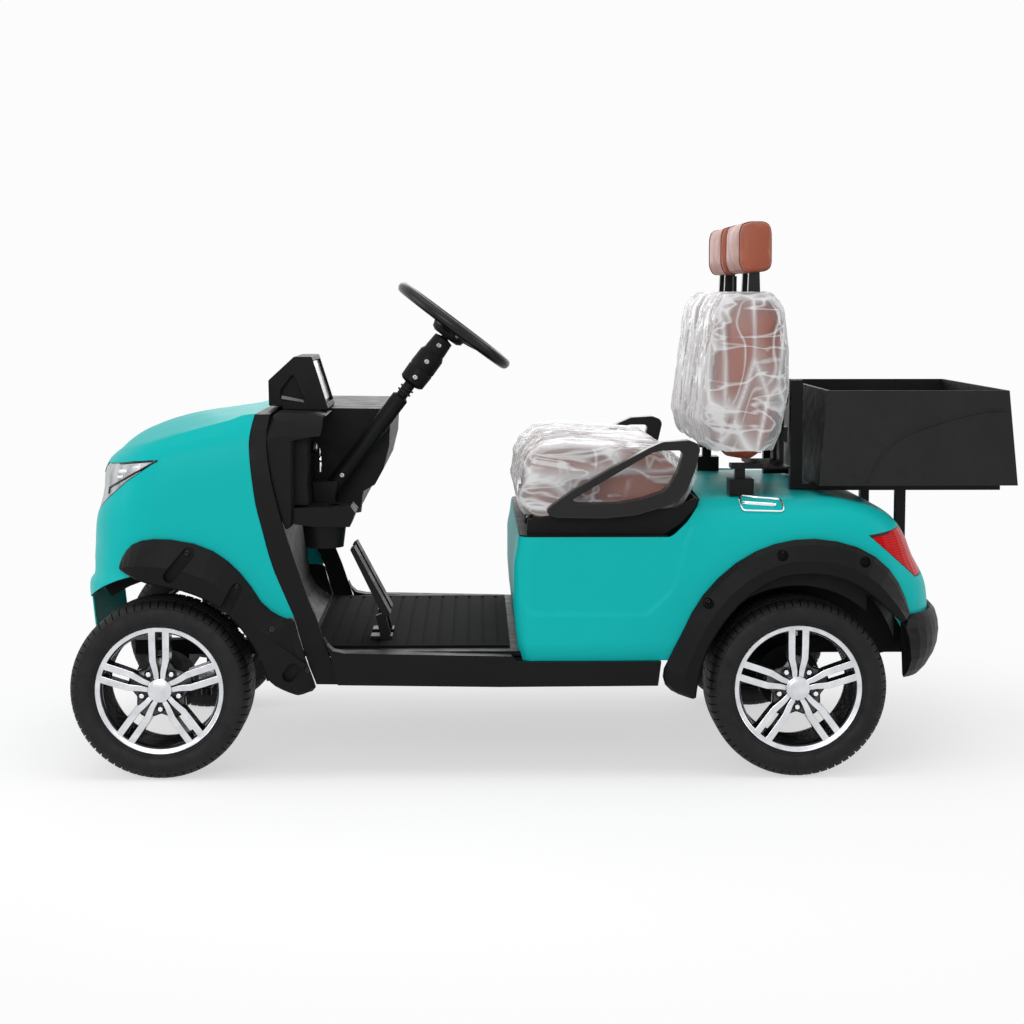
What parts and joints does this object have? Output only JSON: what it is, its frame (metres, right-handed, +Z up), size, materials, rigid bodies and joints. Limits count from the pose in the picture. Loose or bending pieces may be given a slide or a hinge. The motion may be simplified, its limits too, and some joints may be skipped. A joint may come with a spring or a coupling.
{
  "type": "electric utility cart",
  "caption": "Open two-seat electric utility cart with glossy moulded body panels, padded seats with headrests and a rear cargo box with a drop-down tailgate.",
  "frame": {"origin": "on the ground, below the middle of the cart's length and width", "axes": "+X forward, +Y to the cart's left, +Z up"},
  "size_m": [2.4811, 1.208, 1.4459],
  "materials": {
    "teal_panel": "glossy",
    "black_plastic": "satin",
    "frame_paint": "satin",
    "mat_rubber": "matt",
    "lamp_lens": "clear",
    "screen": "satin",
    "battery_case": "matt",
    "red_lens": "glossy",
    "armrest_plastic": "satin",
    "seat_leather": "satin",
    "chrome": "polished",
    "spring_steel": "matt",
    "box_plastic": "textured",
    "cast": "matt",
    "tyre_rubber": "matt",
    "wheel_alloy": "machined"
  },
  "bodies": {
    "body": {"frame": "frame_paint", "cross_members": "frame_paint", "outriggers": "frame_paint", "knee_panel": "black_plastic", "dash_pillars": "black_plastic", "floor_pan": "black_plastic", "floor_mat": "mat_rubber", "sills": "black_plastic", "cowl": "teal_panel", "nose_grille": "black_plastic", "cowl_band": "black_plastic", "headlamps": "lamp_lens", "front_flares": "black_plastic", "dashboard": "black_plastic", "display_pod": "black_plastic", "display_screen": "screen", "cup_trays": "black_plastic", "steering_column": "black_plastic", "pedals": "frame_paint", "rear_body": "teal_panel", "seat_tub": "black_plastic", "battery_pack": "battery_case", "rear_flares": "black_plastic", "tail_lamps": "red_lens", "rear_bumper": "black_plastic", "armrests": "armrest_plastic", "seat_back_frame": "frame_paint", "backrests": "seat_leather", "headrests": "seat_leather", "headrest_posts": "frame_paint", "box_frame": "frame_paint", "cargo_box": "box_plastic", "deck_handles": "chrome", "front_axle": "frame_paint", "rear_axle": "frame_paint", "rear_springs": "spring_steel"},
    "seat_lid": {"seat_board": "black_plastic", "seat_cushion": "seat_leather"},
    "tailgate": {"tailgate": "box_plastic"},
    "steering_wheel": {"steering_wheel": "armrest_plastic"},
    "knuckle_left": {"knuckle_left": "cast"},
    "knuckle_right": {"knuckle_right": "cast"},
    "tie_rod": {"tie_rod": "cast"},
    "pitman_arm": {"pitman_arm": "cast"},
    "wheel_front_left": {"tyre_front_left": "tyre_rubber", "rim_front_left": "wheel_alloy"},
    "wheel_front_right": {"tyre_front_right": "tyre_rubber", "rim_front_right": "wheel_alloy"},
    "wheel_rear_left": {"tyre_rear_left": "tyre_rubber", "rim_rear_left": "wheel_alloy"},
    "wheel_rear_right": {"tyre_rear_right": "tyre_rubber", "rim_rear_right": "wheel_alloy"}
  },
  "joints": [
    {"name": "steering", "type": "hinge", "parent": "body", "child": "steering_wheel", "pos_m": [0.246, 0.29, 1.167], "axis": [-0.6018, 0, 0.7986], "range_deg": [-360, 360]},
    {"name": "steer_left", "type": "hinge", "parent": "body", "child": "knuckle_left", "pos_m": [1.005, 0.4, 0.233], "axis": [0, 0, 1], "range_deg": [-30, 30]},
    {"name": "steer_right", "type": "hinge", "parent": "body", "child": "knuckle_right", "pos_m": [1.005, -0.4, 0.233], "axis": [0, 0, 1], "range_deg": [-30, 30]},
    {"name": "pitman", "type": "hinge", "parent": "body", "child": "pitman_arm", "pos_m": [0.925, 0.15, 0.233], "axis": [0, 0, 1], "range_deg": [-30, 30]},
    {"name": "tie_rod_end", "type": "hinge", "parent": "knuckle_left", "child": "tie_rod", "pos_m": [0.905, 0.4, 0.2], "axis": [0, 0, 1], "range_deg": [-30, 30]},
    {"name": "seat_lid", "type": "hinge", "parent": "body", "child": "seat_lid", "pos_m": [0.045, 0, 0.644], "axis": [0, 1, 0], "range_deg": [0, 50]},
    {"name": "tailgate", "type": "hinge", "parent": "body", "child": "tailgate", "pos_m": [-1.23415, 0, 0.768], "axis": [0, -1, 0], "range_deg": [0, 90]},
    {"name": "wheel_front_left", "type": "hinge", "parent": "knuckle_left", "child": "wheel_front_left", "pos_m": [1.005, 0.4825, 0.233], "axis": [0, 1, 0], "continuous": true},
    {"name": "wheel_front_right", "type": "hinge", "parent": "knuckle_right", "child": "wheel_front_right", "pos_m": [1.005, -0.4825, 0.233], "axis": [0, 1, 0], "continuous": true},
    {"name": "wheel_rear_left", "type": "hinge", "parent": "body", "child": "wheel_rear_left", "pos_m": [-0.645, 0.4825, 0.233], "axis": [0, 1, 0], "continuous": true},
    {"name": "wheel_rear_right", "type": "hinge", "parent": "body", "child": "wheel_rear_right", "pos_m": [-0.645, -0.4825, 0.233], "axis": [0, 1, 0], "continuous": true}
  ],
  "couplings": [
    {"joint": "steer_left", "follows": "steering", "ratio": 0.083333},
    {"joint": "steer_right", "follows": "steering", "ratio": 0.083333},
    {"joint": "pitman", "follows": "steering", "ratio": 0.083333},
    {"joint": "tie_rod_end", "follows": "steering", "ratio": -0.083333}
  ]
}
